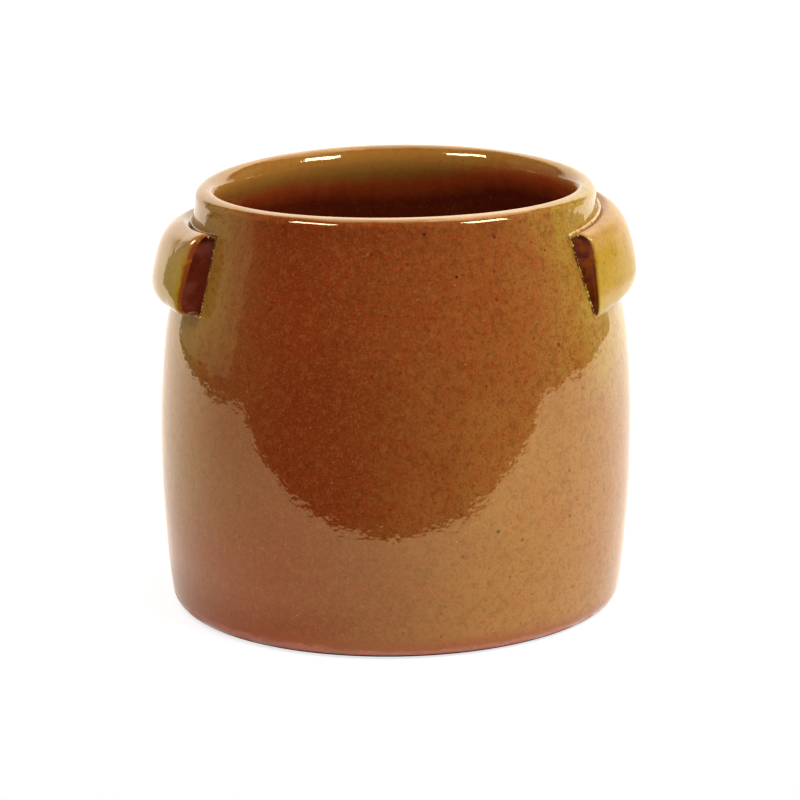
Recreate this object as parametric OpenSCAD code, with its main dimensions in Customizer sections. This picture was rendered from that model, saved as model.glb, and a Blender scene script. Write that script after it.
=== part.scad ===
// Open crock shaped planter in glazed stoneware, with two applied strap lugs.
// The pot is thrown round the Z axis and stands on Z = 0. The lugs sit on the X axis.

/* [Belly] */
// Diameter at the widest point of the belly
belly_d = 240; // [200:1:300]
// Height of the widest point above the ground
belly_z = 84; // [70:1:100]
// Radius of the belly's upright curve
belly_bow = 560; // [450:10:800]
// Thickness of the thrown wall
wall_t = 9; // [7:0.1:11]

/* [Shoulder and neck] */
// Height of the whole pot
total_h = 216.6; // [200:0.1:230]
// Height of the shoulder and neck, from where the belly turns in up to the crease under the lip
neck_h = 82; // [76:1:90]
// Radius of the turn from the belly to the neck
shoulder_bow = 125; // [90:5:160]

/* [Lip] */
// How far the outer edge of the lip lies inside the widest part of the belly
lip_inset = 19; // [14:0.5:24]
// Thickness of the rounded lip
lip_t = 9.8; // [8:0.1:12]
// Height of the lip above the crease under it
lip_h = 4.6; // [3:0.1:7]
// How far the lip stands out from the neck at the crease
lip_step = 0.6; // [0.2:0.1:1.5]

/* [Foot and floor] */
// Radius of the rolled edge round the foot
foot_round = 7; // [4:0.5:10]
// Width of the flat ring that the pot stands on
foot_ring_w = 12; // [8:1:20]
// Depth of the turned recess inside the ring
foot_recess = 1.5; // [1:0.1:3]
// Thickness of the floor over the recess
floor_t = 9; // [7:0.5:12]
// Radius of the corner between the floor and the wall, inside
floor_round = 16; // [10:1:24]

/* [Lugs] */
// Distance from the crease under the lip down to a lug's upper joint
lug_drop = 14; // [10:0.5:22]
// Height of a lug from its lower joint to its upper joint
lug_h = 39.5; // [34:0.5:44]
// Thickness of a lug at its crown
lug_t = 13; // [10:0.5:15]
// How squarely a lug's section is beaten, where 2 is an oval
lug_square = 2.8; // [2:0.1:4]
// How far the centre of a lug's plan curve lies from the pot's axis
lug_offset = 6; // [0:0.5:20]
// Half of the angle round the pot that a lug covers
lug_half_angle = 30; // [24:0.5:34]
// Angle between the X axis and the plane of a lug's cut end
cut_angle = 16; // [8:1:28]

/* [Joining slip] */
// Radius of the roll of slip along a lug's upper and lower joints
slip_r = 1.6; // [1.3:0.1:2.2]
// Thickness of the strip of slip down a lug's cut ends
slip_end_t = 1; // [0.7:0.1:1.2]

/* [Hidden] */
$fn = 96;
// Facets round the pot
fine = 240;
// Steps in the belly's long curve, in each corner, in the lip, in a lug's section and in a slip roll
bow_steps = 18;
corner_steps = 10;
lip_steps = 16;
lug_steps = 24;
slip_steps = 6;
// How far a cutting shape runs past what it cuts
spare = 1;

belly_r = belly_d / 2;
bow_centre = [belly_r - belly_bow, belly_z];
lip_r = belly_r - lip_inset;
mouth_r = lip_r - lip_t;
neck_top = [lip_r - lip_step, total_h - lip_h];
shoulder_z = neck_top[1] - neck_h;

// The belly's curve hands over to the shoulder's curve, and that to the straight neck, at tangents
turn_angle = asin((shoulder_z - belly_z) / belly_bow);
shoulder_centre = bow_centre + (belly_bow - shoulder_bow) * toward(turn_angle);
to_neck_top = neck_top - shoulder_centre;
neck_angle = atan2(to_neck_top[1], to_neck_top[0]) - acos(shoulder_bow / norm(to_neck_top));
neck_flare = tan(neck_angle);
floor_z = foot_recess + floor_t;
foot_corner = corner_centre(0, 0, foot_round);

lug_top_z = neck_top[1] - lug_drop;
lug_low_z = lug_top_z - lug_h;
lug_mid_z = (lug_top_z + lug_low_z) / 2;
// Where the middle of a lug's cut end meets the wall, seen from above
lug_end = neck_x(lug_mid_z) * toward(lug_half_angle);

// Unit vector at an angle
function toward(angle) = [cos(angle), sin(angle)];
// Distance from the pot's axis to the neck's face at height z
function neck_x(z) = neck_top[0] + (neck_top[1] - z) * neck_flare;
// Half width of a lug at a distance x from the pot's axis, with its cut ends moved out by extra
function cut_y(x, extra) = lug_end[1] + extra / cos(cut_angle) + (x - lug_end[0]) * tan(cut_angle);
// Points of an arc round centre c, after the one at angle a and up to the one at angle b
function arc(c, r, a, b, steps) = [for (i = [1:steps]) c + r * toward(a + (b - a) * i / steps)];
// Centre of a rounded corner between the wall, moved in by inset, and a level floor at z
function corner_centre(inset, z, r) = [
    bow_centre[0] + sqrt((belly_bow - inset - r) ^ 2 - (belly_z - z - r) ^ 2),
    z + r
];

// Half section of the thrown form, moved in by inset, from a floor at low_z to the height top_z
module thrown_section(inset, low_z, low_round, top_z) {
    corner = corner_centre(inset, low_z, low_round);
    corner_angle = atan2(corner[1] - belly_z, corner[0] - bow_centre[0]);
    shoulder_top = shoulder_centre + (shoulder_bow - inset) * toward(neck_angle);
    polygon(concat(
        [[0, low_z], [corner[0], low_z]],
        arc(corner, low_round, -90, corner_angle, corner_steps),
        arc(bow_centre, belly_bow - inset, corner_angle, turn_angle, bow_steps),
        arc(shoulder_centre, shoulder_bow - inset, turn_angle, neck_angle, corner_steps),
        [[shoulder_top[0] - (top_z - shoulder_top[1]) * neck_flare, top_z], [0, top_z]]
    ));
}

// The pot as a solid, from the ground to the crease under the lip
module solid_pot() {
    rotate_extrude($fn = fine) thrown_section(0, 0, foot_round, neck_top[1]);
}

// The lip, a half oval that stands on the crease
module lip_section() {
    middle = [lip_r - lip_t / 2, neck_top[1]];
    polygon([for (i = [0:lip_steps]) let (t = 180 * i / lip_steps)
        middle + [cos(t) * lip_t / 2, sin(t) * lip_h]]);
}

// The space inside, where the inner face of the wall runs up into the straight mouth
module cavity_section() {
    neck_inner_top = neck_top[0] - wall_t / cos(neck_angle);
    meet_z = neck_top[1] - max(0, (mouth_r - neck_inner_top) / neck_flare);
    thrown_section(wall_t, floor_z, floor_round, meet_z);
    translate([0, meet_z - spare]) square([mouth_r, total_h - meet_z + 2 * spare]);
}

// The thrown pot with its floor, wall and lip, turned underneath to a ring that it stands on
module vessel() {
    color("sienna") difference() {
        rotate_extrude($fn = fine) difference() {
            union() {
                thrown_section(0, 0, foot_round, neck_top[1]);
                lip_section();
            }
            cavity_section();
        }
        translate([0, 0, -spare])
            cylinder(r = foot_corner[0] - foot_ring_w, h = foot_recess + spare, $fn = fine);
    }
}

// Section of a lug: half of a squared oval that leans with the wall, on a root inside the wall
module lug_section() {
    face_x = neck_x(lug_mid_z) - lug_offset;
    root_x = neck_x(lug_top_z) - wall_t / 2 - lug_offset;
    power = 2 / lug_square;
    polygon(concat([[root_x, lug_top_z]], [for (i = [0:lug_steps])
        let (t = 90 - 180 * i / lug_steps, rise = sign(t) * abs(sin(t)) ^ power * lug_h / 2)
            [face_x + max(0, cos(t)) ^ power * lug_t - rise * neck_flare, lug_mid_z + rise]
    ], [[root_x, lug_low_z]]));
}

// The space between the planes of a lug's two cut ends on the +X side, each moved out by extra
module lug_span(extra) {
    linear_extrude(total_h) polygon([
        [0, -cut_y(0, extra)], [belly_d, -cut_y(belly_d, extra)],
        [belly_d, cut_y(belly_d, extra)], [0, cut_y(0, extra)]
    ]);
}

// A bowed strap of clay on the +X side, cut off at both ends, with its root still inside the wall
module lug_blank() {
    intersection() {
        translate([lug_offset, 0, 0]) rotate_extrude() lug_section();
        lug_span(0);
    }
}

// The strap as it sits on the wall
module lug() {
    difference() {
        lug_blank();
        solid_pot();
    }
}

// Section of the slip on the wall: a roll at the lower and the upper joint, and a strip between them
module slip_section() {
    along = toward(90 + neck_angle);
    out = toward(neck_angle);
    low = [neck_x(lug_low_z), lug_low_z];
    high = [neck_x(lug_top_z), lug_top_z];
    full = 180 - asin(slip_end_t / slip_r);
    polygon(concat(
        [low - slip_r * along - wall_t / 2 * out],
        [for (i = [0:slip_steps]) let (t = full * i / slip_steps)
            low - slip_r * cos(t) * along + slip_r * sin(t) * out],
        [for (i = [slip_steps:-1:0]) let (t = full * i / slip_steps)
            high + slip_r * cos(t) * along + slip_r * sin(t) * out],
        [high + slip_r * along - wall_t / 2 * out]
    ));
}

// The slip that lutes a lug to the wall, all round its joint
module lug_seam() {
    difference() {
        intersection() {
            rotate_extrude($fn = fine) slip_section();
            lug_span(slip_end_t);
        }
        solid_pot();
        lug_blank();
    }
}

module right_lug() {
    color("darkgoldenrod") lug();
}

module left_lug() {
    color("darkgoldenrod") mirror([1, 0, 0]) lug();
}

module right_lug_seam() {
    color("burlywood") lug_seam();
}

module left_lug_seam() {
    color("burlywood") mirror([1, 0, 0]) lug_seam();
}

vessel();
left_lug();
right_lug();
left_lug_seam();
right_lug_seam();
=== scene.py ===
"""Looks of a glazed stoneware planter pot with two strap lugs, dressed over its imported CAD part.

Everything is in the part's own frame: the pot stands on Z = 0 round the Z axis, the lugs sit on the X
axis and the viewer is towards -Y. Lengths are in metres, but for the pot's section and the lugs' tables,
which are in mm.
"""

import math

import bmesh
import bpy
import numpy as np
from mathutils import Matrix, Vector


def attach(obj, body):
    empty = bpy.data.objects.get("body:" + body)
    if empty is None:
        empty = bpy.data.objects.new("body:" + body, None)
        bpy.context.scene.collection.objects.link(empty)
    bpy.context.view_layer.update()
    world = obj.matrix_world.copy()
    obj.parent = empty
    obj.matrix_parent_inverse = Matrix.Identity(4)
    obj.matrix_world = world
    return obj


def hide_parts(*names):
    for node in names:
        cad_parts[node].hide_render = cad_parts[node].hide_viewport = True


MM = 0.001
TURN = 2 * math.pi

# The pot leans a little to the right, about the middle of its height, as a hand thrown one does
LEAN = math.tan(math.radians(0.74))
LEAN_PIVOT_Z = 108 * MM

# The pot's section, in mm. Its outer face, from the foot to the crease under the lip: (height, radius)
OUTER_WALL = [
    (0, 107.8), (0.7, 110.2), (2.4, 112.5), (5, 114.3), (9, 115.2), (15, 116.0), (25, 117.0), (40, 118.2),
    (60, 119.4), (80, 119.9), (100, 119.8), (120, 118.9), (135, 117.7), (146, 116.2), (156, 114.0),
    (168, 110.8), (180, 107.5), (192, 104.4), (200, 102.5), (204, 101.75), (207.5, 101.25),
    (210, 101.03), (212, 100.95),
]
# Its inner face, from the mouth down to the corner of the floor
INNER_WALL = [
    (207.5, 89.4), (204, 89.9), (199, 91.6), (190, 94.9), (178, 98.9), (166, 102.2), (154, 105.2),
    (142, 107.4), (128, 109.0), (110, 110.4), (86, 110.8), (60, 110.2), (40, 109.0), (28, 107.6),
    (20, 104.5), (14.5, 99.5), (11.6, 93.0), (10.7, 84.0),
]
LIP_TOP_Z = 216.55
LIP_MIDDLE_R = 95.15
LIP_HALF_W = 5.8
CREASE_Z = 212.0
# The lip rounds off more slowly inside than outside
LIP_INNER_LOW_Z = 207.5
LIP_STEPS = 24
FLOOR_Z = 10.5
# Radii of the floor's rows, from the inner corner to the middle
FLOOR_ROWS = (*np.arange(81.5, 5.0, -2.5), 4.0)
# The ring that the pot stands on, the softened step inside it and the turned recess
FOOT_RING_OUT_R = 102.0
FOOT_RING_IN_R = 95.6
FOOT_STEP = 0.8
FOOT_STEP_Z = 0.6
FOOT_RECESS = 1.5
RECESS_ROWS = (0, 3, 10, 20, 32, 44, 56, 68, 80, 90)
# Distance between the points of the wall's section, outside and inside
OUTER_SPACING, INNER_SPACING = 1.9, 2.1
# The rings outside are ribbed almost smooth: how deep they are beside those inside
OUTSIDE_RINGS = 0.12
# Over how much height the rings inside begin under the lip, and over what radius in the floor's middle
RINGS_BEGIN, RINGS_END = 26, 10
# Inside this radius and under this height, the rings are waves in the floor and not in the wall
FLOOR_RINGS_R, FLOOR_RINGS_Z = 83.5 * MM, 12 * MM


def srgb(red, green, blue):
    """A colour from 0 to 255 on screen, as the linear colour that a shader takes."""
    def linear(value):
        value = value / 255
        return value / 12.92 if value <= 0.04045 else ((value + 0.055) / 1.055) ** 2.4
    return (linear(red), linear(green), linear(blue), 1.0)


def between(a, b, c, d, t):
    """What lies at a share t of the way from b to c, on a smooth curve that also passes a and d."""
    return 0.5 * (2 * b + (c - a) * t + (2 * a - 5 * b + 4 * c - d) * t * t
                  + (3 * b - a - 3 * c + d) * t ** 3)


def smooth_path(points, steps):
    """Points of a smooth curve through the given points, with some steps between each two."""
    points = [Vector(p) for p in points]
    padded = [2 * points[0] - points[1], *points, 2 * points[-1] - points[-2]]
    found = []
    for a, b, c, d in zip(padded, padded[1:], padded[2:], padded[3:]):
        for i in range(steps):
            t = i / steps
            found.append(between(a, b, c, d, t))
    found.append(points[-1])
    return found


def evenly(points, spacing):
    """Points at an even spacing along the line through the given ones, whose two ends it keeps."""
    lengths = np.cumsum([0.0] + [(b - a).length for a, b in zip(points, points[1:])])
    where = np.linspace(0.0, lengths[-1], round(lengths[-1] / spacing) + 1)
    return [tuple(np.interp(where[i], lengths, [p[k] for p in points]) for k in (0, 1))
            for i in range(len(where))]


def wall_radius(z):
    """Radius of the outer face of the wall at a height, in metres."""
    heights, radii = zip(*OUTER_WALL)
    return float(np.interp(z / MM, heights, radii)) * MM


def smooth(value, low, high):
    """A smooth step from 0 at low to 1 at high."""
    t = min(1.0, max(0.0, (value - low) / (high - low)))
    return t * t * (3 - 2 * t)


class Graph:
    """Adds nodes to a node tree, and links each to what feeds it."""

    def __init__(self, tree):
        self.tree = tree

    def add(self, kind, inputs=None, **settings):
        node = self.tree.nodes.new(kind)
        for name, value in settings.items():
            setattr(node, name, value)
        for key, value in (inputs or {}).items():
            if isinstance(value, bpy.types.NodeSocket):
                self.tree.links.new(value, node.inputs[key])
            else:
                node.inputs[key].default_value = value
        return node

    def math(self, operation, a, b=0.0, clamp=False):
        return self.add("ShaderNodeMath", {0: a, 1: b}, operation=operation, use_clamp=clamp).outputs[0]

    def times(self, a, b, clamp=False):
        return self.math("MULTIPLY", a, b, clamp)

    def plus(self, a, b):
        return self.math("ADD", a, b)

    def minus(self, a, b):
        return self.math("SUBTRACT", a, b)

    def larger(self, a, b):
        return self.math("MAXIMUM", a, b)

    def flip(self, a):
        """1 where a is 0, and 0 where it is 1."""
        return self.minus(1.0, a)

    def split(self, vector):
        """The X, Y and Z of a vector, by name."""
        return self.add("ShaderNodeSeparateXYZ", {0: vector}).outputs

    def from_axis(self, place):
        """How far a place, split into its X, Y and Z, lies from the pot's axis."""
        x_squared = self.times(place["X"], place["X"])
        return self.math("SQRT", self.plus(x_squared, self.times(place["Y"], place["Y"])))

    def read(self, name):
        """A named attribute, in Geometry Nodes."""
        return self.add("GeometryNodeInputNamedAttribute", {"Name": name}, data_type="FLOAT").outputs[0]

    def ease(self, value, low, high, to_low=0.0, to_high=1.0):
        """A smooth step of value from low to high."""
        return self.add(
            "ShaderNodeMapRange",
            {"Value": value, "From Min": low, "From Max": high, "To Min": to_low, "To Max": to_high},
            interpolation_type="SMOOTHSTEP",
        ).outputs["Result"]

    def mix(self, factor, a, b):
        """Colour a, or colour b where factor is 1."""
        node = self.add("ShaderNodeMix", data_type="RGBA")
        for socket, value in ((node.inputs[0], factor), (node.inputs[6], a), (node.inputs[7], b)):
            if isinstance(value, bpy.types.NodeSocket):
                self.tree.links.new(value, socket)
            else:
                socket.default_value = value
        return node.outputs[2]

    def noise(self, where, scale, detail=2.0):
        return self.add("ShaderNodeTexNoise", {
            "Vector": where, "Scale": scale, "Detail": detail}).outputs[0]


# ---------------------------------------------------------------------------------------------
# Shapes
# ---------------------------------------------------------------------------------------------

def new_object(name, data):
    made = bpy.data.objects.new(name, data)
    bpy.context.scene.collection.objects.link(made)
    return made


def geometry_tree(name, sizes):
    """An empty Geometry Nodes tree with a geometry in and out, and named inputs for its sizes."""
    tree = bpy.data.node_groups.new(name, "GeometryNodeTree")
    tree.interface.new_socket("Geometry", in_out="INPUT", socket_type="NodeSocketGeometry")
    for size, kind in sizes.items():
        tree.interface.new_socket(size, in_out="INPUT", socket_type=kind)
    tree.interface.new_socket("Geometry", in_out="OUTPUT", socket_type="NodeSocketGeometry")
    graph = Graph(tree)
    return graph, graph.add("NodeGroupInput").outputs, graph.add("NodeGroupOutput").inputs


def finish_tree(graph, shape, material, out):
    """Ends a tree: real faces, smooth shading and one material."""
    real = graph.add("GeometryNodeRealizeInstances", {"Geometry": shape}).outputs[0]
    shaded = graph.add("GeometryNodeSetShadeSmooth", {"Geometry": real}).outputs[0]
    done = graph.add("GeometryNodeSetMaterial", {"Geometry": shaded, "Material": material}).outputs[0]
    graph.tree.links.new(done, out["Geometry"])


def make_plain(piece, tree, values):
    """Runs a Geometry Nodes tree on a piece and keeps what it makes as the piece's own plain mesh."""
    modifier = piece.modifiers.new(tree.name, "NODES")
    modifier.node_group = tree
    for item in tree.interface.items_tree:
        if item.in_out == "INPUT" and item.name in values:
            modifier[item.identifier] = values[item.name]
    depsgraph = bpy.context.evaluated_depsgraph_get()
    mesh = bpy.data.meshes.new_from_object(piece.evaluated_get(depsgraph), depsgraph=depsgraph)
    piece.modifiers.clear()
    old, piece.data = piece.data, mesh
    bpy.data.meshes.remove(old)
    mesh.name = piece.name
    return piece


def lean(piece):
    """Shears a finished piece sideways with the pot's lean."""
    piece.data.transform(Matrix((
        (1, 0, LEAN, -LEAN * LEAN_PIVOT_Z), (0, 1, 0, 0), (0, 0, 1, 0), (0, 0, 0, 1),
    )))


def pot_section():
    """Half section of the pot, from the middle of its underside out, up, over the lip and down inside.

    Each point is its radius and height in mm, how deep the throwing rings are there, from 0 to 1, and
    whether it lies inside the pot, past the middle of the lip.
    """
    underside = [(r, FOOT_RECESS, 0.0, 0.0) for r in (*RECESS_ROWS, FOOT_RING_IN_R - 1)]
    underside += [(FOOT_RING_IN_R, FOOT_STEP_Z, 0.0, 0.0), (FOOT_RING_IN_R + FOOT_STEP, 0.0, 0.0, 0.0),
                  (FOOT_RING_OUT_R, 0.0, 0.0, 0.0)]
    wall = [(r, z) for z, r in OUTER_WALL]
    foot = [(p.x, p.y, 0.0, 0.0) for p in smooth_path(wall[:6], 4)]
    outer = evenly(smooth_path(wall[5:], 8), OUTER_SPACING)[1:]
    outer = [(r, z, OUTSIDE_RINGS, 0.0) for r, z in outer]
    lip = []
    for i in range(1, LIP_STEPS):
        angle = math.pi * i / LIP_STEPS
        low_z = CREASE_Z if i <= LIP_STEPS / 2 else LIP_INNER_LOW_Z
        lip.append((
            LIP_MIDDLE_R + LIP_HALF_W * math.cos(angle),
            low_z + (LIP_TOP_Z - low_z) * math.sin(angle), 0.0, i / LIP_STEPS,
        ))
    inner = evenly(smooth_path([(r, z) for z, r in INNER_WALL], 8), INNER_SPACING)
    inner = [(r, z, min(1.0, (LIP_INNER_LOW_Z - z) / RINGS_BEGIN), 1.0) for r, z in inner]
    floor = [(r, FLOOR_Z, min(1.0, (r - FLOOR_ROWS[-1]) / RINGS_END), 1.0) for r in FLOOR_ROWS]
    floor.append((0.0, FLOOR_Z, 0.0, 1.0))
    return underside + foot + outer + lip + inner + floor


def throwing_tree():
    """Turns a half section round the axis into a closed pot, with throwing rings and a slight wobble."""
    graph, given, out = geometry_tree("Throw pot", {
        "Columns": "NodeSocketInt", "Ring Depth": "NodeSocketFloat", "Ring Pitch": "NodeSocketFloat",
        "Wobble": "NodeSocketFloat", "Lip Dip": "NodeSocketFloat", "Lip Foot": "NodeSocketFloat",
        "Crease": "NodeSocketFloat", "Floor Top": "NodeSocketFloat", "Floor Edge": "NodeSocketFloat",
        "Glaze": "NodeSocketMaterial",
    })
    section = given["Geometry"]
    rows = graph.add("GeometryNodeAttributeDomainSize", {"Geometry": section}).outputs["Point Count"]
    per_row = graph.plus(given["Columns"], 1.0)
    grid = graph.add("GeometryNodeMeshGrid", {"Vertices X": rows, "Vertices Y": per_row}).outputs["Mesh"]
    index = graph.add("GeometryNodeInputIndex").outputs[0]
    row = graph.math("FLOOR", graph.math("DIVIDE", graph.plus(index, 0.5), per_row))
    column = graph.minus(index, graph.times(row, per_row))
    angle = graph.times(graph.math("DIVIDE", column, given["Columns"]), TURN)

    def on_section(value, kind="FLOAT"):
        """What a value is at this row's point of the section."""
        sample = graph.add("GeometryNodeSampleIndex", {"Geometry": section, "Index": row},
                           data_type=kind, domain="POINT")
        graph.tree.links.new(value, sample.inputs["Value"])
        return sample.outputs[0]

    def vector(**parts):
        return graph.add("ShaderNodeCombineXYZ", parts).outputs[0]

    def moved(place, by):
        return graph.add("ShaderNodeVectorMath", {0: place, 1: by}, operation="ADD").outputs[0]

    point = graph.split(on_section(graph.add("GeometryNodeInputPosition").outputs[0], "FLOAT_VECTOR"))
    radius, height = point["X"], point["Z"]
    ringed, travelled, inner = (on_section(graph.read(name)) for name in ("ringed", "travelled", "inner"))
    around = vector(X=graph.math("COSINE", angle), Y=graph.math("SINE", angle))

    # Throwing rings: soft ridges that climb round the wall, deeper in some places than in others
    climb = graph.plus(graph.math("DIVIDE", travelled, given["Ring Pitch"]),
                       graph.math("DIVIDE", column, given["Columns"]))
    ridge = graph.math("SINE", graph.times(climb, TURN))
    spot = moved(around, vector(Z=graph.times(height, 30.0)))
    depth = graph.times(graph.times(graph.noise(spot, 1.3), given["Ring Depth"]), ringed)
    wobble = graph.times(graph.minus(graph.noise(spot, 0.7, 1.0), 0.5), given["Wobble"])
    push = graph.times(ridge, depth)
    on_floor = graph.times(graph.math("LESS_THAN", height, given["Floor Top"]),
                           graph.math("LESS_THAN", radius, given["Floor Edge"]))
    height = graph.plus(height, graph.times(push, on_floor))
    radius = graph.plus(radius, graph.times(graph.flip(on_floor), graph.plus(push, wobble)))

    # The lip dips at its sides, where the lugs pulled on the wet clay
    twice_round = graph.times(graph.minus(angle, TURN / 4), 2.0)
    dip = graph.times(graph.flip(graph.math("COSINE", twice_round)), given["Lip Dip"])
    dip = graph.times(dip, graph.ease(height, given["Lip Foot"], given["Crease"]))
    height = graph.minus(height, dip)

    place = graph.add("ShaderNodeVectorMath", {0: around, "Scale": radius}, operation="SCALE").outputs[0]
    place = moved(place, vector(Z=height))
    marked = graph.add("GeometryNodeStoreNamedAttribute", {
        "Geometry": grid, "Name": "inner", "Value": inner}, data_type="FLOAT", domain="POINT").outputs[0]
    thrown = graph.add("GeometryNodeSetPosition", {"Geometry": marked, "Position": place}).outputs[0]
    closed = graph.add("GeometryNodeMergeByDistance", {"Geometry": thrown, "Distance": 1e-6}).outputs[0]
    finish_tree(graph, closed, given["Glaze"], out)
    return graph.tree


def throw_pot(glaze):
    mesh = bpy.data.meshes.new("pot_section")
    section = pot_section()
    places = [Vector((r * MM, 0.0, z * MM)) for r, z, _, _ in section]
    mesh.from_pydata([tuple(p) for p in places], [(i, i + 1) for i in range(len(places) - 1)], [])
    travelled = np.cumsum([0.0] + [(b - a).length for a, b in zip(places, places[1:])])
    for name, values in (("ringed", [row[2] for row in section]), ("inner", [row[3] for row in section]),
                         ("travelled", travelled)):
        mesh.attributes.new(name, "FLOAT", "POINT").data.foreach_set("value", [float(v) for v in values])
    pot = make_plain(new_object("thrown_pot", mesh), throwing_tree(), {
        "Columns": 300, "Ring Depth": 0.12 * MM, "Ring Pitch": 9.5 * MM, "Wobble": 0.5 * MM,
        "Lip Dip": 0.85 * MM, "Lip Foot": 190 * MM, "Crease": CREASE_Z * MM,
        "Floor Top": FLOOR_RINGS_Z, "Floor Edge": FLOOR_RINGS_R, "Glaze": glaze,
    })
    lean(pot)
    face_outwards(pot)
    return pot


def face_outwards(piece):
    """Points the faces of a closed piece outwards."""
    shape = bmesh.new()
    shape.from_mesh(piece.data)
    bmesh.ops.remove_doubles(shape, verts=shape.verts, dist=1e-7)
    bmesh.ops.recalc_face_normals(shape, faces=shape.faces)
    shape.to_mesh(piece.data)
    shape.free()
    for face in piece.data.polygons:
        face.use_smooth = True


# Each lug is described at a few places along its strap, from the near cut end (-1) to the far one (+1):
# angle round the pot from the X axis at the upper and lower joint (near side positive, degrees),
# heights of the two joints, thickness at the crown, loss of thickness towards the lower joint
LUGS = {
    "right": [
        (-1.0, 34.4, 30.4, 200.2, 157.9, 13.3, 0.76),
        (-0.6, 21.0, 18.5, 201.4, 159.2, 13.7, 0.42),
        (-0.2, 7.5, 6.5, 202.8, 160.8, 13.9, 0.14),
        (0.2, -7.0, -6.5, 203.6, 161.4, 13.3, 0.12),
        (0.6, -20.0, -19.0, 204.2, 162.0, 11.6, 0.12),
        (1.0, -31.5, -30.5, 204.6, 162.4, 10.2, 0.12),
    ],
    "left": [
        (-1.0, 30.6, 31.0, 201.6, 161.0, 14.0, -0.06),
        (-0.6, 18.3, 18.5, 199.9, 160.4, 14.6, 0.0),
        (-0.2, 6.2, 6.4, 199.6, 160.0, 14.6, 0.05),
        (0.2, -6.2, -6.4, 198.6, 159.4, 14.0, 0.08),
        (0.6, -18.2, -18.4, 197.6, 159.0, 12.8, 0.10),
        (1.0, -30.0, -30.0, 196.6, 159.0, 11.4, 0.12),
    ],
}
# How far in mm a lug's upper joint lies below the strap, which bulges up in front of it
JOINT_DIP = 2.4
# The strap fans out less than its joint does, because it is bowed tighter than the wall
FAN = 0.55
# How long a lug is round the wall
LUG_SPAN = math.radians(60) * 104 * MM
LUG_COLUMNS = 96
LUG_POINTS = 56
# How deep a lug's root goes into the wall, and how far up and down it reaches there
LUG_ROOT = 4.0 * MM
ROOT_REACH = 0.97
LEAST_THICK = 0.6 * MM
# How far a cut end is rolled over, in mm, at a lug's upper and lower joint
END_ROLL = {"left": (4.4, 2.6), "right": (2.8, 1.0)}
# Where the columns of a rolled edge lie, as shares of the roll
ROLL_COLUMNS = (0.0, 0.06, 0.16, 0.3, 0.48, 0.7, 1.0)
# What the glaze's mask of the cut ends says at the brim of a rolled edge, where the cut face itself has 1
EDGE_MASK = 0.8
CUT_RINGS = 8
# How far the middle of a cut end is drawn in, as a wire leaves it
CUT_DISH = 0.5 * MM
# How square a lug's section is, where 2 is an oval, and how much squarer at its very ends, over what length
SQUARE = 2.7
END_SQUARER = 1.0
SQUARE_END = 14 * MM


def lug_station(side, along):
    """What LUGS says at a place along the strap, smoothly between its rows."""
    rows = LUGS[side]
    places = [row[0] for row in rows]
    i = min(max(np.searchsorted(places, along) - 1, 0), len(rows) - 2)
    t = (along - places[i]) / (places[i + 1] - places[i])
    before, after = rows[max(i - 1, 0)], rows[min(i + 2, len(rows) - 1)]
    return [between(a, b, c, d, t) for a, b, c, d in zip(
        before[1:], rows[i][1:], rows[i + 1][1:], after[1:])]


def lug_point(side, along, rise, proud):
    """A point of a lug: rise is -1 at the lower joint and 1 at the upper, proud is out of the wall."""
    sign = 1 if side == "right" else -1
    top_angle, low_angle, top_z, low_z, _, _ = lug_station(side, along)
    share = (rise + 1) / 2
    angle = math.radians(low_angle + (top_angle - low_angle) * share)
    sunk = JOINT_DIP * smooth(rise, 0.6, 1.0) * (1 - smooth(proud, 0.0, 5 * MM))
    z = (low_z + (top_z - low_z) * share - sunk) * MM
    base = wall_radius(z)
    fan = angle * FAN
    x = base * math.cos(angle) + proud * math.cos(fan)
    y = -base * math.sin(angle) - proud * math.sin(fan)
    return Vector((sign * x, y, z))


def strap_column(side, along):
    """A section of the strap at a place along it, root included, and how far each point is rolled over."""
    high_roll, low_roll = (roll * MM for roll in END_ROLL[side])
    _, _, top_z, low_z, crown, loss = lug_station(side, along)
    from_end = (1 - abs(along)) * LUG_SPAN / 2
    half_h = (top_z - low_z) / 2 * MM
    power = 2 / (SQUARE + END_SQUARER * max(0.0, 1 - from_end / SQUARE_END))
    ring, rolled = [], []
    for i in range(LUG_POINTS + 1):
        t = math.pi * i / LUG_POINTS
        rise = math.copysign(abs(math.cos(t)) ** power, math.cos(t))
        roll = low_roll + (high_roll - low_roll) * (rise + 1) / 2
        lost = roll - math.sqrt(max(0.0, roll ** 2 - max(0.0, roll - from_end) ** 2))
        rolled.append(EDGE_MASK * lost / roll)
        thick = crown * MM * (1 + loss * (rise - 1) / 2)
        thick = max(LEAST_THICK, thick - lost) * max(0.0, math.sin(t)) ** power
        # The rolled end is a little less high too
        rise *= 1 - min(lost, 1.5 * MM) / half_h * 0.6
        ring.append(lug_point(side, along, rise, thick))
    root_top = lug_point(side, along, ROOT_REACH, -LUG_ROOT)
    root_low = lug_point(side, along, -ROOT_REACH, -LUG_ROOT)
    return [root_top, *ring, root_low], [rolled[0], *rolled, rolled[-1]]


def cut_face(column, outwards):
    """Rings that close a cut end, drawn in a little towards its middle as a wire leaves it."""
    middle = sum(column, Vector()) / len(column)
    found = []
    for k in range(1, CUT_RINGS + 1):
        share = 1 - k / CUT_RINGS
        dish = CUT_DISH * (1 - share ** 2)
        found.append([middle + (p - middle) * share - outwards * dish for p in column])
    return found


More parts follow.
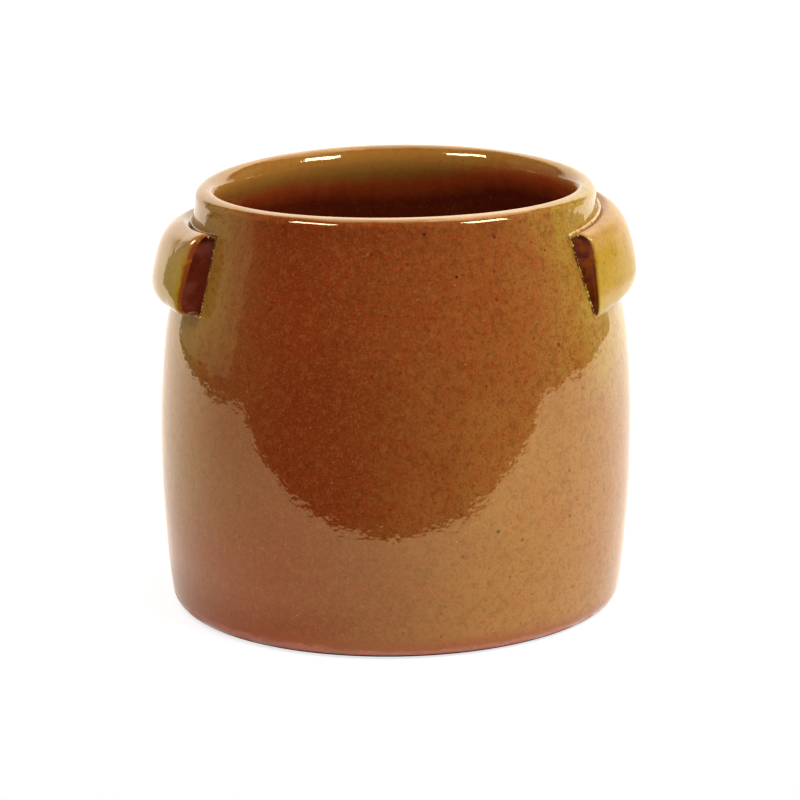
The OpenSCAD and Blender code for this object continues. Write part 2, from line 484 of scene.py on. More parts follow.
def strap_lug(side, glaze):
    """A solid strap of clay, beaten to a squared oval and cut off at both ends, with softened edges."""
    high_roll = END_ROLL[side][0] * MM
    ends = [-1 + 2 * high_roll * share / LUG_SPAN for share in ROLL_COLUMNS]
    middle = [along for along in np.linspace(-1, 1, LUG_COLUMNS) if abs(along) < -ends[-1]]
    places = ends + middle + [-along for along in reversed(ends)]
    columns, cut = zip(*(strap_column(side, along) for along in places))
    columns, cut = list(columns), list(cut)

    # The ends face the way that the strap runs over its last few columns
    crown, few = LUG_POINTS // 2, 8
    near_out = (columns[0][crown] - columns[few][crown]).normalized()
    far_out = (columns[-1][crown] - columns[-1 - few][crown]).normalized()
    columns = list(reversed(cut_face(columns[0], near_out))) + columns + cut_face(columns[-1], far_out)
    size = len(columns[0])
    cut = [[1.0] * size] * CUT_RINGS + cut + [[1.0] * size] * CUT_RINGS
    faces = []
    for c in range(len(columns) - 1):
        for i in range(size):
            j = (i + 1) % size
            faces.append((c * size + i, c * size + j, (c + 1) * size + j, (c + 1) * size + i))
    mesh = bpy.data.meshes.new(side + "_strap_lug")
    mesh.from_pydata([tuple(p) for column in columns for p in column], [], faces)
    mesh.attributes.new("cut", "FLOAT", "POINT").data.foreach_set(
        "value", [float(share) for column in cut for share in column])
    lug = new_object(side + "_strap_lug", mesh)
    mesh.materials.append(glaze)
    lean(lug)
    face_outwards(lug)
    return lug


def slip_tree():
    """Lays a roll of slip along a path, uneven in girth, with beads of glaze where the path says so."""
    graph, given, out = geometry_tree("Lute the joint", {
        "Unevenness": "NodeSocketFloat", "Bead Spacing": "NodeSocketFloat",
        "Bead Size": "NodeSocketFloat", "Least Bead": "NodeSocketFloat", "Most Bead": "NodeSocketFloat",
        "Drop Size": "NodeSocketFloat", "Seed": "NodeSocketInt", "Slip": "NodeSocketMaterial",
    })
    position = graph.add("GeometryNodeInputPosition").outputs[0]
    curve = graph.add("GeometryNodeMeshToCurve", {"Mesh": given["Geometry"]}).outputs[0]
    lumps = graph.times(given["Unevenness"], graph.minus(graph.noise(position, 260.0), 0.5))
    profile = graph.add("GeometryNodeCurvePrimitiveCircle", {"Resolution": 14, "Radius": 1.0}).outputs[0]
    roll = graph.add("GeometryNodeCurveToMesh", {
        "Curve": curve, "Profile Curve": profile,
        "Scale": graph.times(graph.read("girth"), graph.plus(1.0, lumps)),
    }).outputs[0]

    def ball(size):
        return graph.add("GeometryNodeMeshIcoSphere", {"Radius": size, "Subdivisions": 3}).outputs[0]

    spots = graph.add("GeometryNodeCurveToPoints", {
        "Curve": curve, "Length": given["Bead Spacing"]}, mode="LENGTH").outputs["Points"]
    scale = graph.add("FunctionNodeRandomValue", {
        2: given["Least Bead"], 3: given["Most Bead"], "Seed": given["Seed"]}, data_type="FLOAT").outputs[1]
    beads = graph.add("GeometryNodeInstanceOnPoints", {
        "Points": spots, "Instance": ball(given["Bead Size"]), "Scale": scale,
        "Selection": graph.math("GREATER_THAN", graph.read("beaded"), 0.5),
    }).outputs[0]
    # A drop of glaze hangs at the foot of each cut end
    feet = graph.add("GeometryNodeMeshToPoints", {
        "Mesh": given["Geometry"], "Selection": graph.math("GREATER_THAN", graph.read("dropped"), 0.5),
    }).outputs[0]
    drops = graph.add("GeometryNodeInstanceOnPoints", {
        "Points": feet, "Instance": ball(given["Drop Size"])}).outputs[0]
    joined = graph.add("GeometryNodeJoinGeometry")
    for part in (roll, beads, drops):
        graph.tree.links.new(part, joined.inputs[0])
    finish_tree(graph, joined.outputs[0], given["Slip"], out)
    return graph.tree


# Girth of the slip in mm over a lug, down its cut ends and under it, and the radius of its beads
SLIP = {"left": (0.5, 0.35, 0.6, 0.5), "right": (1.1, 0.5, 0.7, 0.8)}
SLIP_STEPS = 40
# Where the slip runs, on the scales of lug_point: past the cut ends, over a lug and under it
SLIP_PAST, SLIP_OVER, SLIP_UNDER = 1.04, 1.05, -1.03
# The beaded ends of the path lie a little closer to the cut faces and reach a little past the fillet
ENDS_AT, ENDS_LOW = 1.02, -1.04
# How far out of the wall the slip's middle lies over a lug and down its ends
OVER_PROUD, DOWN_PROUD = 0.2 * MM, 0.1 * MM


def slip_path(side):
    """The closed path of the slip round a lug: place, girth, whether it is beaded, whether a drop hangs."""
    over, down, under, _ = (size * MM for size in SLIP[side])
    path = []
    for i in range(SLIP_STEPS + 1):
        along = -SLIP_PAST + 2 * SLIP_PAST * i / SLIP_STEPS
        path.append((lug_point(side, along, SLIP_OVER, OVER_PROUD), over, 0.0, 0.0))
    down_by = (SLIP_OVER - ENDS_LOW) / SLIP_STEPS
    for i in range(1, SLIP_STEPS):
        path.append((lug_point(side, ENDS_AT, SLIP_OVER - i * down_by, DOWN_PROUD), down, 1.0, 0.0))
    for i in range(SLIP_STEPS + 1):
        along = SLIP_PAST - 2 * SLIP_PAST * i / SLIP_STEPS
        girth = under * (1 - 0.5 * smooth(abs(along), 0.8, 1.0))
        at_end = float(i in (0, SLIP_STEPS))
        path.append((lug_point(side, along, SLIP_UNDER, 0.0), girth, 0.0, at_end))
    for i in range(1, SLIP_STEPS):
        path.append((lug_point(side, -ENDS_AT, ENDS_LOW + i * down_by, DOWN_PROUD), down, 1.0, 0.0))
    return path


def slip_seam(side, tree, slip, seed):
    """The joining slip round a lug: a ridge over it, beads down its cut ends and a fillet under it."""
    places, *marks = zip(*slip_path(side))
    count = len(places)
    mesh = bpy.data.meshes.new(side + "_slip_path")
    mesh.from_pydata([tuple(p) for p in places], [(i, (i + 1) % count) for i in range(count)], [])
    for name, values in zip(("girth", "beaded", "dropped"), marks):
        mesh.attributes.new(name, "FLOAT", "POINT").data.foreach_set("value", values)
    seam = make_plain(new_object(side + "_slip_seam", mesh), tree, {
        "Unevenness": 0.8, "Bead Spacing": 1.9 * MM, "Bead Size": SLIP[side][3] * MM, "Least Bead": 0.55,
        "Most Bead": 1.25, "Drop Size": 0.9 * MM, "Seed": seed, "Slip": slip,
    })
    lean(seam)
    face_outwards(seam)
    return seam


# ---------------------------------------------------------------------------------------------
# Glaze
# ---------------------------------------------------------------------------------------------

def specks(graph, where, spacing, radius, share):
    """Round specks scattered through the glaze: 1 in a speck and 0 between them."""
    cells = graph.add("ShaderNodeTexVoronoi", {
        "Vector": where, "Scale": 1 / spacing, "Randomness": 1.0,
    }, feature="F1")
    chance = graph.add("ShaderNodeSeparateColor", {0: cells.outputs["Color"]}).outputs
    size = graph.times(graph.plus(chance[1], 0.5), radius / spacing)
    inside = graph.flip(graph.ease(graph.math("DIVIDE", cells.outputs["Distance"], size), 0.7, 1.15))
    return graph.times(inside, graph.math("LESS_THAN", chance[0], share))


# Roughness of the glaze, and the usual strength of its mirroring
GLOSS, MIRRORING = 0.045, 0.5
# The glaze bends light strongly, so it mirrors more than plain glass does
GLAZE_IOR = 1.72
GLAZE_TINT = (1.0, 0.82, 0.42, 1.0)
# Unevenness of the glaze's skin: (waves to the metre, depth in mm)
SKIN = ((70.0, 0.16), (190.0, 0.08), (430.0, 0.045))

RED_PATCH = srgb(150, 48, 18)
DARK_GRAIN = srgb(84, 34, 8)
PALE_GRAIN = srgb(168, 108, 50)
RED_SPECK = srgb(158, 38, 16)
IRON_SPECK = srgb(66, 30, 10)
BLACK_SPECK = srgb(36, 28, 22)
PALE_SPECK = srgb(200, 148, 84)
# Grain: (waves to the metre, noise where it starts and where it is full, strength, colour)
GRAIN = (
    (300.0, 0.0, 0.16, 0.26, DARK_GRAIN), (260.0, 0.02, 0.2, 0.16, PALE_GRAIN),
    (900.0, 0.02, 0.18, 0.34, DARK_GRAIN), (850.0, 0.02, 0.18, 0.26, PALE_GRAIN),
    (560.0, 0.12, 0.20, 0.42, RED_SPECK),
)
# Specks: (mm from one to the next, radius in mm, share of places that have one, strength, colour)
SPECKS = (
    (2.7, 0.50, 0.40, 0.45, RED_SPECK), (6.0, 0.85, 0.45, 0.55, RED_SPECK),
    (3.0, 0.44, 0.40, 0.36, IRON_SPECK), (6.0, 0.70, 0.40, 0.50, IRON_SPECK),
    (12.0, 0.72, 0.50, 0.90, BLACK_SPECK), (4.6, 0.36, 0.35, 0.45, PALE_SPECK),
)

# The pot outside
RED_BROWN = srgb(131, 61, 23)
SIDE_BUFF = srgb(154, 110, 52)
THICK_RED = srgb(128, 44, 14)
GOLDEN = srgb(164, 106, 46)
LOW_RED = srgb(140, 36, 16)
NECK_OLIVE = srgb(172, 140, 50)
# Its inside, lip and foot
INSIDE_RED = srgb(97, 30, 13)
RUN_DOWN_RED = srgb(164, 66, 26)
RUN_DOWN_OLIVE = srgb(156, 105, 42)
# Thin glaze on the lip's crest, with a painted highlight along it
THIN_CREST_AND_HIGHLIGHT = srgb(208, 168, 120)
FOOT_RUST = srgb(144, 48, 24)
BARE_CLAY = srgb(180, 98, 82)
FOOT_SHADE = srgb(40, 22, 20)
# The lugs: their crowns, with the painted rosy sheen on the tops of the left and the right one
OCHRE = srgb(172, 138, 54)
YELLOW_OLIVE = srgb(164, 132, 34)
RIGHT_YELLOW = srgb(182, 142, 22)
ROSY_SHEEN = srgb(160, 104, 66), srgb(190, 142, 94)
# Their rolled edges, high and low, and their cut ends, the right one low in painted shade and high in
# painted light
EDGE_RUST = srgb(178, 94, 24), srgb(128, 50, 18)
LEFT_END = srgb(98, 34, 17)
RIGHT_END_LIGHT_AND_SHADE = srgb(102, 38, 12), srgb(150, 74, 30)
END_PALE, END_DARK = srgb(112, 52, 38), srgb(80, 26, 12)
# Painted shade at the top of a cut end, under the overhanging slip
SHADE_UNDER_SLIP = srgb(34, 12, 8)
# The joining slip, each between two colours: over a lug, down its ends, and on the left
PALE_SLIP = srgb(220, 184, 120), srgb(180, 132, 62)
BROKEN_SLIP = srgb(96, 52, 20), srgb(182, 166, 50)
LEFT_SLIP = srgb(112, 70, 30), srgb(176, 128, 72)


class Glaze:
    """The parts that every glaze on the pot is built from, over one material's node tree."""

    def __init__(self, name):
        self.material = bpy.data.materials.new(name)
        self.material.use_nodes = True
        self.material.node_tree.nodes.clear()
        self.graph = graph = Graph(self.material.node_tree)
        self.where = graph.add("ShaderNodeTexCoord").outputs["Object"]
        place = graph.split(self.where)
        self.x, self.z = place["X"], place["Z"]
        # How far round towards a lug: 0 midway between the lugs and 1 at them
        from_axis = graph.larger(graph.from_axis(place), 0.01)
        self.to_side = graph.math("ABSOLUTE", graph.math("DIVIDE", self.x, from_axis))

    def mask(self, name):
        """A mask that the shape carries, from 0 to 1."""
        return self.graph.add("ShaderNodeAttribute", attribute_name=name).outputs["Fac"]

    def centred(self, scale, detail=2.0, where=None):
        """Noise with its middle at 0."""
        return self.graph.minus(self.graph.noise(where or self.where, scale, detail), 0.5)

    def shifted(self, value, noise, amount):
        return self.graph.plus(value, self.graph.times(noise, amount))

    def tint(self, colour, amount, other):
        return self.graph.mix(amount, colour, other)

    def share(self, amount, factor):
        return self.graph.times(amount, factor, clamp=True)

    def grained(self, colour, strength=1.0):
        """Adds the mottle, grain and specks that run through all the glaze."""
        graph = self.graph
        patches = graph.ease(self.centred(95.0, 2.0), -0.02, 0.16)
        marks = [(patches, 0.20, RED_PATCH)]
        for scale, low, high, amount, other in GRAIN:
            marks.append((graph.ease(self.centred(scale, 1.0), low, high), amount, other))
        for spacing, size, share, amount, other in SPECKS:
            marks.append((specks(graph, self.where, spacing * MM, size * MM, share), amount, other))
        # The left side came out of the fire smoother and with less red in it
        to_right = graph.ease(self.x, -0.07, 0.03)
        calm = graph.plus(graph.times(to_right, 0.25), 0.75)
        calm_red = graph.plus(graph.times(to_right, 0.6), 0.4)
        for found, amount, other in marks:
            found = self.share(found, calm_red if other == RED_SPECK else calm)
            colour = self.tint(colour, self.share(self.share(found, amount), strength), other)
        return colour

    def surface(self, colour, roughness=GLOSS, mirroring=MIRRORING):
        """Closes the material with a thick clear gloss over the colour, a little uneven in its skin."""
        graph = self.graph
        skin = None
        for scale, depth in SKIN:
            wave = {"Height": graph.noise(self.where, scale, 1.0), "Strength": 1.0, "Distance": depth * MM}
            if skin:
                wave["Normal"] = skin
            skin = graph.add("ShaderNodeBump", wave).outputs[0]
        shader = graph.add("ShaderNodeBsdfPrincipled", {
            "Base Color": colour, "Roughness": roughness, "Normal": skin, "IOR": GLAZE_IOR,
            "Specular Tint": GLAZE_TINT, "Specular IOR Level": mirroring,
        })
        graph.add("ShaderNodeOutputMaterial", {"Surface": shader.outputs[0]}).is_active_output = True
        return self.material


def outside_colour(glaze, clouds, streaks):
    """Red brown between the lugs, buff beside them, golden low on the right and olive on the neck."""
    graph = glaze.graph
    uneven = glaze.shifted(glaze.shifted(glaze.to_side, clouds, 0.30), streaks, 0.10)
    colour = graph.mix(graph.ease(uneven, 0.42, 0.92), RED_BROWN, SIDE_BUFF)
    # Redder where the glaze lies thick, left of the middle, and golden low on the right
    thick = glaze.share(graph.ease(glaze.shifted(glaze.x, clouds, 0.05), -0.005, -0.055),
                        graph.ease(glaze.x, -0.115, -0.085))
    colour = glaze.tint(colour, glaze.share(thick, 0.55), THICK_RED)
    to_right = graph.ease(glaze.shifted(glaze.x, glaze.centred(45.0), 0.05), -0.03, 0.07)
    low_down = graph.ease(glaze.shifted(glaze.z, clouds, 0.06), 0.180, 0.060, 0.30, 0.95)
    colour = glaze.tint(colour, glaze.share(to_right, low_down), GOLDEN)
    low_left = glaze.share(graph.ease(glaze.z, 0.085, 0.035), graph.ease(glaze.x, -0.02, -0.07))
    colour = glaze.tint(colour, glaze.share(low_left, 0.7), LOW_RED)
    # Olive gathers on the neck round the lugs, more and lower down on the right
    lowered = glaze.shifted(glaze.z, graph.ease(glaze.x, -0.02, 0.05), 0.012)
    on_neck = graph.ease(glaze.shifted(lowered, clouds, 0.06), 0.120, 0.170)
    round_lugs = glaze.share(graph.ease(uneven, 0.62, 0.92), on_neck)
    amount = graph.ease(glaze.x, -0.02, 0.05, 0.4, 0.95)
    return glaze.tint(colour, glaze.share(round_lugs, amount), NECK_OLIVE)


def inside_colour(glaze, clouds, streaks):
    """Olive glaze has run down from the mouth and thins out over the dark red wall."""
    graph = glaze.graph
    # The run reaches farther down on the left than on the right; its higher end on the right also stands in
    # for painted shade, where less light falls inside
    level = glaze.shifted(glaze.shifted(glaze.z, streaks, 0.005), clouds, 0.015)
    level = graph.minus(level, graph.ease(glaze.x, 0.01, 0.065, 0.0, 0.009))
    thinned = graph.minus(level, graph.ease(glaze.x, 0.03, -0.03, 0.0, 0.003))
    colour = graph.mix(graph.ease(thinned, 0.1835, 0.1965), INSIDE_RED, RUN_DOWN_RED)
    return glaze.tint(colour, graph.ease(level, 0.1950, 0.2055), RUN_DOWN_OLIVE)


def mirrors_paper(glaze):
    """0 just over a lug, where the neck mirrors the lug and not the paper, and 1 elsewhere."""
    graph = glaze.graph
    joint_z = graph.ease(glaze.x, -0.02, 0.02, 0.1975, 0.1985)
    # The lug's image is a crescent, tallest at the pot's outline
    tall = graph.ease(glaze.to_side, 0.845, 0.95, 0.0, 5.2 * MM)
    below_its_top = graph.ease(graph.minus(graph.plus(joint_z, tall), glaze.z), 0.0, 0.4 * MM)
    above_the_lug = graph.times(graph.ease(glaze.z, 0.192, 0.194), graph.ease(glaze.to_side, 0.84, 0.86))
    return graph.flip(glaze.share(below_its_top, graph.times(0.985, above_the_lug)))


def pot_glaze():
    """Honey glaze rich in iron, thin on the lip's crest under a painted highlight, and bare clay under its
    line at the foot.
    """
    glaze = Glaze("honey_glaze")
    graph = glaze.graph
    clouds = glaze.centred(16.0, 3.0)
    runs = graph.add("ShaderNodeMapping", {
        "Vector": glaze.where, "Scale": (150.0, 150.0, 14.0)}).outputs[0]
    streaks = glaze.centred(1.0, where=runs)
    inner = graph.ease(glaze.mask("inner"), 0.45, 0.8)
    colour = glaze.tint(outside_colour(glaze, clouds, streaks), inner,
                        inside_colour(glaze, clouds, streaks))
    colour = glaze.grained(colour, graph.flip(glaze.share(inner, 0.65)))

    # The lip's crest: thin pale glaze, with a painted highlight along it
    crest = graph.ease(glaze.shifted(glaze.z, glaze.centred(45.0), MM), 0.2146, 0.2162)
    colour = glaze.tint(colour, glaze.share(crest, 0.78), THIN_CREST_AND_HIGHLIGHT)
    line = glaze.shifted(glaze.shifted(glaze.z, clouds, 5 * MM), glaze.centred(160.0, 3.0), 6 * MM)
    # The glaze line climbs a little to the left
    line = graph.minus(line, graph.ease(glaze.x, -0.02, -0.08, 0.0, 2.2 * MM))
    rusty = graph.flip(graph.ease(line, 5 * MM, 13 * MM))
    colour = glaze.tint(colour, glaze.share(rusty, 0.7), FOOT_RUST)
    bare = graph.flip(graph.ease(line, 3.4 * MM, 5.6 * MM))
    bare = glaze.share(bare, graph.ease(glaze.centred(80.0, 3.0), -0.14, 0.06, 0.25, 0.8))
    colour = glaze.tint(colour, bare, BARE_CLAY)
    # Right at the ground the foot is in its own shade and mirrors nothing
    colour = glaze.tint(colour, graph.ease(glaze.z, 2.2 * MM, 1.1 * MM), FOOT_SHADE)
    mirroring = glaze.share(mirrors_paper(glaze), graph.ease(glaze.z, 1.5 * MM, 4 * MM, 0.0, MIRRORING))
    return glaze.surface(colour, graph.ease(bare, 0.0, 1.0, GLOSS, 0.6), mirroring)


def cut_end_colour(glaze, to_right):
    """Dark red on a lug's cut end, mottled; on the right painted light high up and painted shade low down.
    """
    graph = glaze.graph
    # On the right cut end, painted shade low down and painted light high up
    right_end_lit_and_shaded = graph.mix(graph.ease(glaze.z, 0.165, 0.190), *RIGHT_END_LIGHT_AND_SHADE)
    colour = graph.mix(to_right, LEFT_END, right_end_lit_and_shaded)
    colour = glaze.tint(colour, graph.ease(glaze.centred(140.0, 3.0), -0.04, 0.16), END_PALE)
    return glaze.tint(colour, graph.ease(glaze.centred(200.0, 3.0), 0.04, -0.30), END_DARK)


def lug_glaze():
    """The same glaze, run thin and ochre over the lugs, with rusty edges round their dark cut ends."""
    glaze = Glaze("ochre_glaze")
    graph = glaze.graph
    cut = glaze.mask("cut")
    blotches = glaze.centred(60.0)
    to_right = graph.ease(glaze.x, -0.05, 0.05)
    colour = graph.mix(graph.ease(glaze.centred(90.0, 3.0), -0.08, 0.12), OCHRE, YELLOW_OLIVE)
    colour = glaze.tint(colour, glaze.share(to_right, 0.7), RIGHT_YELLOW)
    # A painted rosy sheen over the top
    rosy_sheen = graph.ease(glaze.shifted(glaze.z, blotches, 0.01), 0.184, 0.203)
    colour = glaze.tint(colour, glaze.share(rosy_sheen, 0.7), graph.mix(to_right, *ROSY_SHEEN))
    colour = glaze.grained(colour, 0.45)
    rolled = graph.ease(glaze.shifted(cut, blotches, 0.5), 0.06, 0.45)
    amount = graph.ease(glaze.x, -0.05, 0.05, 0.9, 0.35)
    rust = graph.ease(glaze.shifted(glaze.centred(260.0, 3.0), glaze.z, 4.0), 0.88, 0.70)
    colour = glaze.tint(colour, glaze.share(rolled, amount), graph.mix(rust, *EDGE_RUST))
    # The right lug is cut crisp, so its dark end reaches almost to the edge
    reach = graph.ease(glaze.x, -0.05, 0.05, 0.0, 0.44)
    on_face = graph.plus(glaze.shifted(cut, glaze.centred(500.0), 0.14), reach)
    on_face = graph.ease(on_face, 0.72, 0.88)
    colour = glaze.tint(colour, on_face, cut_end_colour(glaze, to_right))
    # Painted shade at the top of each cut end, under the slip ridge that overhangs it
    shade_under_slip = glaze.share(graph.ease(glaze.z, 0.1955, 0.1985), on_face)
    colour = glaze.tint(colour, glaze.share(shade_under_slip, 0.8), SHADE_UNDER_SLIP)
    # It lies duller on the right lug, but for its edge
    dull = glaze.share(to_right, graph.ease(cut, 0.25, 0.0))
    dull = glaze.share(dull, graph.ease(glaze.z, 0.163, 0.173))
    return glaze.surface(colour, graph.ease(dull, 0.0, 1.0, GLOSS, 0.18),
                         graph.ease(dull, 0.0, 1.0, MIRRORING, 0.06))


def slip_glaze():
    """Glaze pooled over the joining slip: pale above a lug, broken green and brown down its ends."""
    glaze = Glaze("pooled_slip")
    graph = glaze.graph
    pale = graph.mix(graph.ease(glaze.centred(420.0), -0.06, 0.14), *PALE_SLIP)
    broken = graph.mix(graph.ease(glaze.centred(330.0), -0.03, 0.05), *BROKEN_SLIP)
    colour = glaze.tint(pale, glaze.mask("beaded"), broken)
    # Hardly any of it shows on the left, where it has the colours of the glaze round it
    on_left = graph.mix(graph.ease(glaze.centred(330.0), -0.02, 0.10), *LEFT_SLIP)
    colour = glaze.tint(colour, graph.ease(glaze.x, 0.02, -0.02), on_left)
    return glaze.surface(glaze.grained(colour, 0.7))


# ---------------------------------------------------------------------------------------------
# Studio
# ---------------------------------------------------------------------------------------------

WHITE = (1.0, 1.0, 1.0, 1.0)
# The room's light is a little warm in the glaze
WARM = (1.0, 0.88, 0.76, 1.0)

PAPER_BACK, PAPER_TOP = 1.25, 1.9
# The paper lies this little under the foot, so that the two never lie in one plane
PAPER_DROP = 0.05 * MM
# Corners of the paper on the table, from the viewer's left round to the right and back
PAPER = [
    (-0.97, -0.255), (1.03, -0.325), (1.15, 0.35), (1.5, PAPER_BACK), (-1.3, PAPER_BACK), (-0.90, 0.45),
]
# Outline of the paper where it rises at the back, across and up
PAPER_RISE = [
    (-1.3, 0), (1.5, 0), (1.5, 0.3), (1.1, PAPER_TOP), (-1.1, PAPER_TOP), (-1.2, 0.6), (-1.3, 0.2),
]
# What the paper sends back of the lamps' light, as the pot sees it and as the camera does
PAPER_LIT, PAPER_SEEN = (0.8, 0.8, 0.8, 1.0), (0.45, 0.45, 0.45, 1.0)
# How much the paper glows by itself round the pot, and beyond it where the background has no seam
PAPER_GLOW = 0.74, 1.0
# How bright the paper is in the glaze at its left and right, in front of the pot and behind it
MIRRORED_FRONT, MIRRORED_BACK = (1.0, 1.75), (1.55, 1.84)
# Colour of the paper in the glaze at its left and right
PAPER_TINTS = (1.0, 0.85, 0.75, 1.0), (1.0, 0.92, 0.82, 1.0)
# The far walls of the room: how far off, and from what height to what height
ROOM_FAR, ROOM_LOW, ROOM_HIGH = 3.4, -1.0, 3.0


def studio_material(name, build):
    material = bpy.data.materials.new(name)
    material.use_nodes = True
    material.node_tree.nodes.clear()
    graph = Graph(material.node_tree)
    graph.add("ShaderNodeOutputMaterial", {"Surface": build(graph)})
    return material


def in_gloss(graph, path):
    """1 for what is seen in a gloss or glass surface."""
    return graph.larger(path["Is Glossy Ray"], path["Is Transmission Ray"])


def card(name, corners, material):
    """A flat card through its corners, part of the studio."""
    mesh = bpy.data.meshes.new(name)
    mesh.from_pydata([tuple(c) for c in corners], [], [tuple(range(len(corners)))])
    mesh.materials.append(material)
    made = new_object(name, mesh)
    return made


def upright(a, b, low, high):
    """Corners of an upright card over the line from a to b on the ground, between two heights."""
    return [(*a, low), (*b, low), (*b, high), (*a, high)]


def glow(graph, strength, colour=WHITE):
    return graph.add("ShaderNodeEmission", {"Color": colour, "Strength": strength}).outputs[0]


def mirrored_paper(graph, where):
    """How bright the paper is in the glaze, by the place that is mirrored."""
    in_front = graph.times(graph.ease(where["X"], -0.75, 0.5, *MIRRORED_FRONT),
                           graph.ease(where["Y"], -0.13, -0.28, 0.94, 1.12))
    # The pot's shadow lies on the paper close to its left side
    unshaded = graph.larger(graph.ease(graph.from_axis(where), 0.12, 0.18, 0.6, 1.0),
                            graph.ease(where["X"], -0.10, 0.0, 0.6, 1.0))
    in_front = graph.times(in_front, unshaded)
    behind = graph.ease(where["X"], 0.1, 0.7, *MIRRORED_BACK)
    back_share = graph.ease(where["Y"], -0.15, 0.45)
    strength = graph.plus(graph.times(in_front, graph.flip(back_share)), graph.times(behind, back_share))
    strength = graph.times(strength, graph.ease(where["Z"], 0.4, 1.5, 1.0, 1.55))
    # Higher up it fades out towards both sides
    sideways = graph.larger(graph.ease(where["X"], -0.72, -1.05), graph.ease(where["X"], 0.8, 1.1))
    return graph.times(strength, graph.flip(graph.times(sideways, graph.ease(where["Z"], 0.3, 0.7))))


def paper_shader(graph):
    """White paper: the pot's shadow stays on it, and it runs brighter to the right where the light is."""
    where = graph.split(graph.add("ShaderNodeTexCoord").outputs["Object"])
    lit = graph.add("ShaderNodeBsdfDiffuse", {"Color": PAPER_LIT}).outputs[0]
    # Beyond the pot the paper glows by itself, so the background has no seam
    beyond = graph.larger(graph.ease(where["Y"], 0.2, 0.8),
                          graph.ease(graph.math("ABSOLUTE", where["X"]), 0.25, 0.6))
    seen = graph.add("ShaderNodeAddShader", {
        0: graph.add("ShaderNodeBsdfDiffuse", {"Color": PAPER_SEEN}).outputs[0],
        1: glow(graph, graph.ease(beyond, 0.0, 1.0, *PAPER_GLOW)),
    }).outputs[0]
    tint = graph.mix(graph.ease(where["X"], -0.5, 0.5), *PAPER_TINTS)
    mirrored = glow(graph, mirrored_paper(graph, where), tint)
    path = graph.add("ShaderNodeLightPath").outputs
    either = graph.add("ShaderNodeMixShader", {0: path["Is Camera Ray"], 1: lit, 2: seen}).outputs[0]
    return graph.add("ShaderNodeMixShader", {0: in_gloss(graph, path), 1: either, 2: mirrored}).outputs[0]


def only_in_gloss(made):
    """Hides a card from all but the gloss."""
    made.visible_camera = made.visible_diffuse = made.visible_shadow = False
    made.visible_transmission = made.visible_volume_scatter = False


def mirrored_card(name, corners, strength, colour=WARM):
    """A glowing card of the room round the pot, which only the gloss sees."""
    only_in_gloss(card(name, corners, studio_material(name, lambda graph: glow(graph, strength, colour))))


# What the soft boxes aim at, and how far from it they stand
BOX_AIM, BOX_DISTANCE = Vector((0, 0, 0.12)), 1.3


def soft_box_place(azimuth, elevation):
    """Where a soft box stands, azimuth counted from the viewer to the right, and how it is turned."""
    a, e = math.radians(azimuth), math.radians(elevation)
    out = Vector((math.sin(a) * math.cos(e), -math.cos(a) * math.cos(e), math.sin(e)))
    return BOX_AIM + BOX_DISTANCE * out, out.to_track_quat("Z", "Y")


def glare(name, azimuth, elevation, size, strength):
    """The bright cloth of a soft box, as the gloss sees it."""
    place, turn = soft_box_place(azimuth, elevation)
    w, h = size[0] / 2, size[1] / 2
    corners = [place + turn @ Vector((x, y, 0)) for x, y in ((-w, -h), (w, -h), (w, h), (-w, h))]
    mirrored_card(name, corners, strength, WHITE)


def lamp(name, azimuth, elevation, size, power):
    """A soft box that faces the pot."""
    data = bpy.data.lights.new(name, "AREA")
    data.shape, (data.size, data.size_y), data.energy = "RECTANGLE", size, power
    made = new_object(name, data)
    made.location, turn = soft_box_place(azimuth, elevation)
    made.rotation_euler = turn.to_euler()
    made.visible_camera = made.visible_glossy = False


def build_room():
    """A dark room all round, which only the gloss sees."""
    dark = studio_material("dark_room", lambda graph: glow(graph, 0.006))
    front_left, front_right = (-ROOM_FAR, -ROOM_FAR), (ROOM_FAR, -ROOM_FAR)
    back_right, back_left = (ROOM_FAR, ROOM_FAR), (-ROOM_FAR, ROOM_FAR)
    around = (front_left, front_right, back_right, back_left)
    room = {
        "room_front": upright(front_left, front_right, ROOM_LOW, ROOM_HIGH),
        "room_back": upright(back_left, back_right, ROOM_LOW, ROOM_HIGH),
        "room_left": upright(front_left, back_left, ROOM_LOW, ROOM_HIGH),
        "room_right": upright(front_right, back_right, ROOM_LOW, ROOM_HIGH),
        "room_ceiling": [(*corner, ROOM_HIGH) for corner in around],
        "room_ground": [(*corner, ROOM_LOW) for corner in around],
    }
    for name, corners in room.items():
        only_in_gloss(card(name, corners, dark))


def light_world():
    """A white world where it is seen or mirrored, and a softer even fill on the pot."""
    world = bpy.data.worlds.new("studio")
    bpy.context.scene.world = world
    world.use_nodes = True
    world.node_tree.nodes.clear()
    graph = Graph(world.node_tree)
    path = graph.add("ShaderNodeLightPath").outputs
    seen_or_mirrored = graph.larger(path["Is Camera Ray"], in_gloss(graph, path))
    seen = graph.add("ShaderNodeBackground", {"Color": WHITE, "Strength": 1.0}).outputs[0]
    fill = graph.add("ShaderNodeBackground", {"Color": WHITE, "Strength": 0.5}).outputs[0]
    mixed = graph.add("ShaderNodeMixShader", {0: seen_or_mirrored, 1: fill, 2: seen}).outputs[0]
    graph.add("ShaderNodeOutputWorld", {"Surface": mixed})


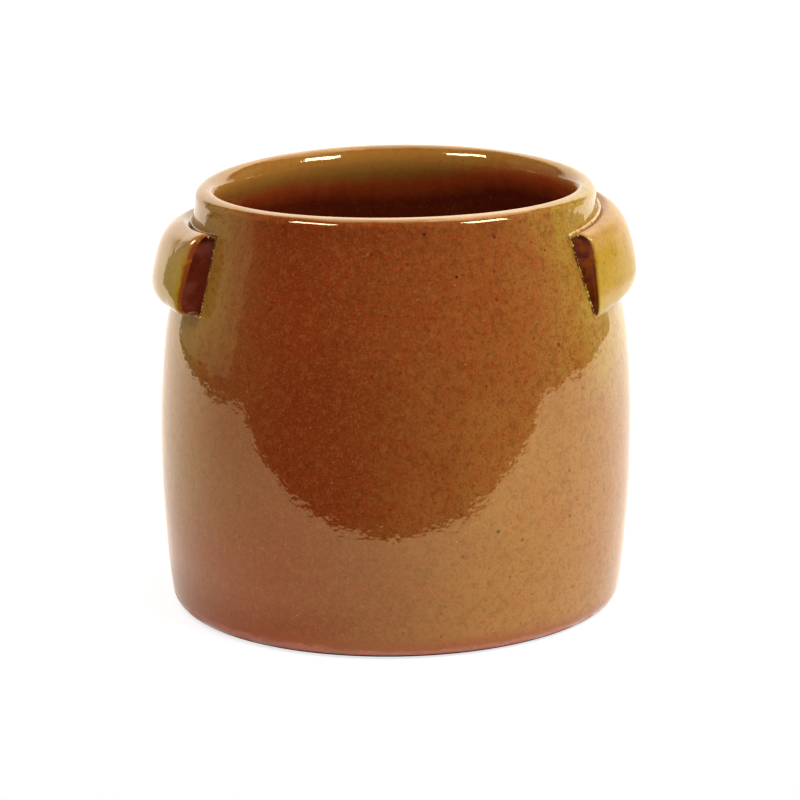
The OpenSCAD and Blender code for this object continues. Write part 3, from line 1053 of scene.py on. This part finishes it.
def build_studio():
    paper = studio_material("white_paper", paper_shader)
    card("paper_table", [(x, y, -PAPER_DROP) for x, y in PAPER], paper)
    card("paper_back", [(x, PAPER_BACK, z) for x, z in PAPER_RISE], paper)
    mirrored_card("right_wing", upright(PAPER[3], PAPER[2], 0.0, 1.0), 0.3)
    mirrored_card("left_wing", upright((-1.6, -0.15), PAPER[4], 0.0, 1.2), 0.3)
    left, right, front, high = 0.3, 1.3, -0.3, 2.0
    mirrored_card("overhead", [
        (left, front, high), (right, front, high), (right, PAPER_BACK, high), (left, PAPER_BACK, high),
    ], 2.0)
    glare("left_glare", -56, 45, (0.52, 0.25), 26.0)
    glare("right_glare", 56.5, 37.5, (0.50, 0.34), 34.0)
    build_room()
    light_world()
    lamp("left_box", -54, 50, (0.8, 0.5), 4.6)
    lamp("right_box", 54, 50, (0.8, 0.5), 10.5)
    lamp("right_fill", 88, 22, (0.8, 0.8), 5.0)


# The camera that was fitted to the photograph: its place, its lens and sensor in mm, its sideways shift,
# and in degrees how far it looks down and to the right and is rolled clockwise
CAMERA_PLACE = (-LEAN * LEAN_PIVOT_Z, -1.8963, 0.5893)
CAMERA_LENS, CAMERA_SENSOR, CAMERA_SHIFT = 172.58, 36.0, -0.0007
LOOKS_DOWN, LOOKS_RIGHT, ROLLED = 14.413, 0.1073, 0.86


def place_camera():
    data = bpy.data.cameras.new("photo_camera")
    data.lens, data.sensor_width, data.shift_x = CAMERA_LENS, CAMERA_SENSOR, CAMERA_SHIFT
    data.clip_start, data.clip_end = 0.1, 50.0
    camera = new_object("photo_camera", data)
    turn = (Matrix.Rotation(math.radians(90 - LOOKS_DOWN), 4, "X")
            @ Matrix.Rotation(math.radians(-LOOKS_RIGHT), 4, "Y")
            @ Matrix.Rotation(math.radians(-ROLLED), 4, "Z"))
    camera.matrix_world = Matrix.Translation(CAMERA_PLACE) @ turn
    bpy.context.scene.camera = camera


# ---------------------------------------------------------------------------------------------
# The part
# ---------------------------------------------------------------------------------------------

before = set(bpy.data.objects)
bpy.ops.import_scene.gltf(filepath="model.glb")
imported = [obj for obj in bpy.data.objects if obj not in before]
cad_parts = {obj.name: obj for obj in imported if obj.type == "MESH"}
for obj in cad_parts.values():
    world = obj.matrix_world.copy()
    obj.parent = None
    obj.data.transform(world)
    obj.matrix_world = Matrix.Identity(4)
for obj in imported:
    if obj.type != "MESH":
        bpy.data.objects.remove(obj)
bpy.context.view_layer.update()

bpy.context.scene.view_settings.view_transform = "Standard"
place_camera()
build_studio()

ochre, pooled = lug_glaze(), slip_glaze()
pot = throw_pot(pot_glaze())
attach(pot, "root")
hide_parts("vessel")

slip_rolls = slip_tree()
for side, seed in (("left", 11), ("right", 23)):
    lug = strap_lug(side, ochre)
    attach(lug, "root")
    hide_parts(side + "_lug")
    seam = slip_seam(side, slip_rolls, pooled, seed)
    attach(seam, "root")
    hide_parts(side + "_lug_seam")
